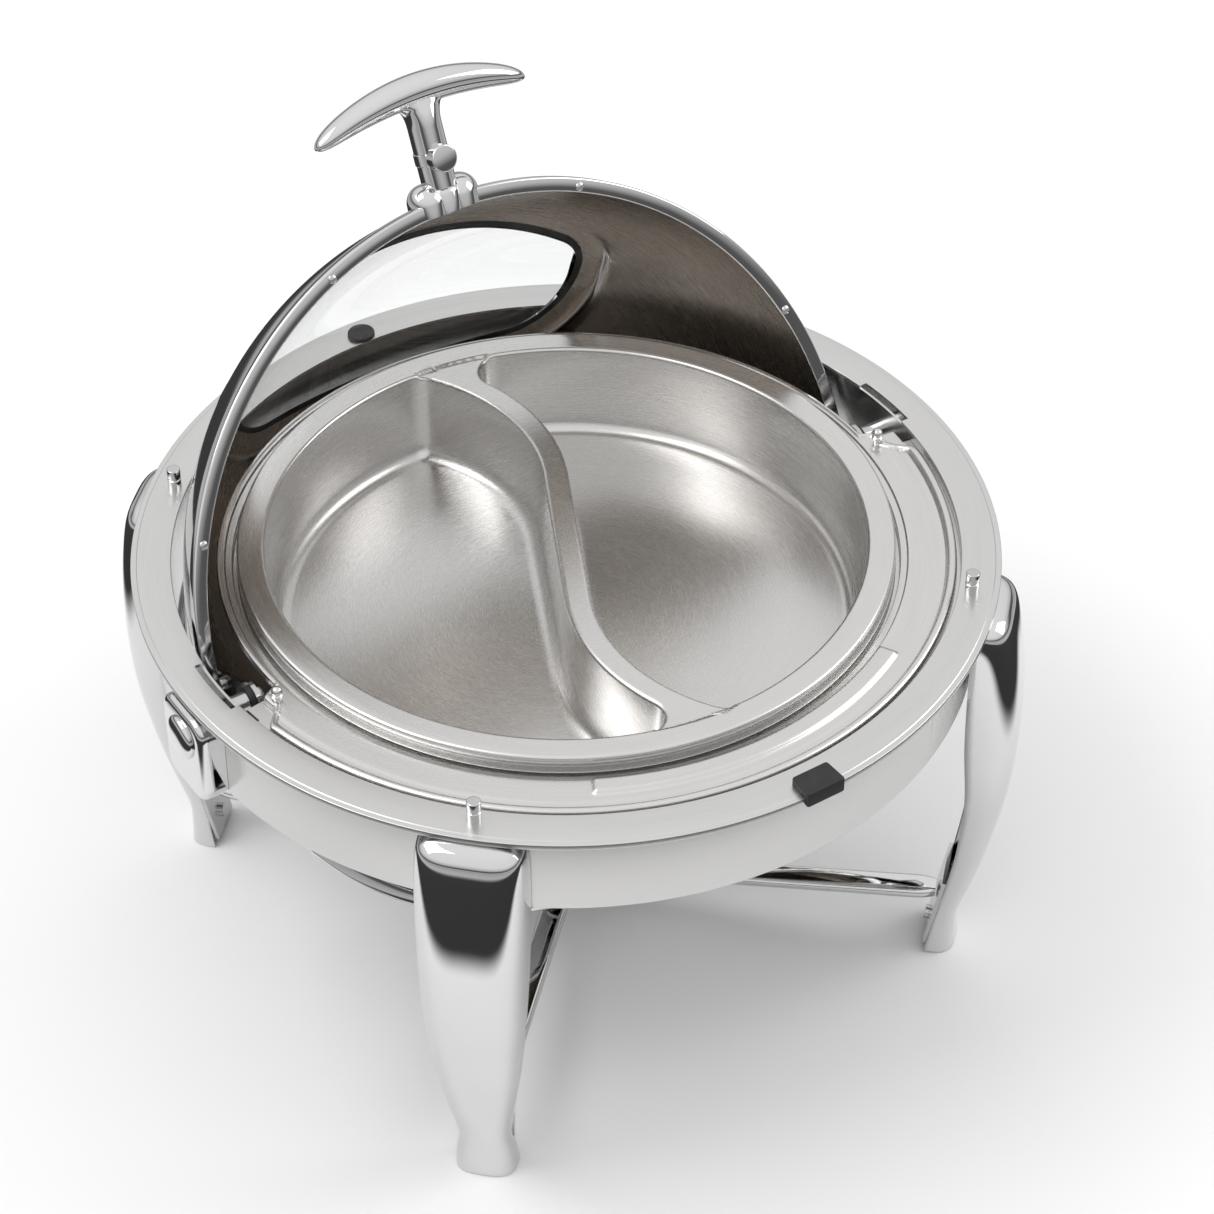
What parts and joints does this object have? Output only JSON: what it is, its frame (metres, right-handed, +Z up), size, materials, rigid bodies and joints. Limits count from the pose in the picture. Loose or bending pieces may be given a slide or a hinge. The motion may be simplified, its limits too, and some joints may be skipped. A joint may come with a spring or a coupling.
{
  "type": "roll top chafer",
  "caption": "Round buffet chafer: roll-top dome lid with window on side hinges, divided food pan, water pan, top ring and skirt on cabriole legs.",
  "frame": {"origin": "on the floor, under the centre of the top ring", "axes": "+Z up; the handle side and the front bumper face -Y; the lid's hinge axis runs along X"},
  "size_m": [0.515, 0.5035, 0.5119],
  "materials": {
    "brushed_ring": "fine circular brushing",
    "brushed_band": "fine brushing along the band",
    "mirror_steel": "mirror polished",
    "lid_steel": "polished outside, satin inside",
    "satin_pan": "satin drawn sheet",
    "plain_hardware": "turned",
    "clear_glass": "clear",
    "black_rubber": "matt"
  },
  "bodies": {
    "stand": {"rim_ring": "brushed_ring", "skirt_band": "brushed_band", "liner_band": "brushed_band", "pan_ledge": "brushed_band", "rim_studs": "plain_hardware", "front_bumper": "black_rubber", "rear_bumper": "black_rubber", "leg_front_left": "mirror_steel", "leg_front_right": "mirror_steel", "leg_back_right": "mirror_steel", "leg_back_left": "mirror_steel", "leg_brackets": "plain_hardware", "leg_bolts": "plain_hardware", "leg_nuts": "plain_hardware", "foot_glides": "black_rubber", "bar_front_left": "mirror_steel", "bar_front_right": "mirror_steel", "bar_back_right": "mirror_steel", "bar_back_left": "mirror_steel", "bar_hub": "mirror_steel", "bar_plates": "plain_hardware", "plate_screws": "plain_hardware", "hinge_cover_left": "mirror_steel", "hinge_cover_right": "mirror_steel", "hinge_caps": "mirror_steel", "hinge_barrel_left": "plain_hardware", "hinge_barrel_right": "plain_hardware", "water_pan": "satin_pan", "pan_pins": "plain_hardware"},
    "lid": {"lid_dome": "lid_steel", "lid_rim": "mirror_steel", "rim_rivets": "plain_hardware", "window_glass": "clear_glass", "window_gasket": "black_rubber", "handle_saddle": "mirror_steel", "handle_post": "mirror_steel", "handle_grip": "mirror_steel", "stop_lug": "mirror_steel", "handle_screw": "plain_hardware", "hinge_arm_left": "plain_hardware", "hinge_arm_right": "plain_hardware", "hinge_pin_left": "plain_hardware", "hinge_pin_right": "plain_hardware", "arm_screws": "plain_hardware", "hinge_washers": "black_rubber"},
    "food_pan_body": {"food_pan": "satin_pan"}
  },
  "joints": [
    {"name": "lid_roll", "type": "hinge", "parent": "stand", "child": "lid", "pos_m": [0, 0, 0.261], "axis": [-1, 0, 0], "range_deg": [-114, 46]},
    {"name": "food_pan_lift", "type": "slide", "parent": "stand", "child": "food_pan_body", "axis": [0, 0, 1], "range_m": [0, 0.055]}
  ]
}
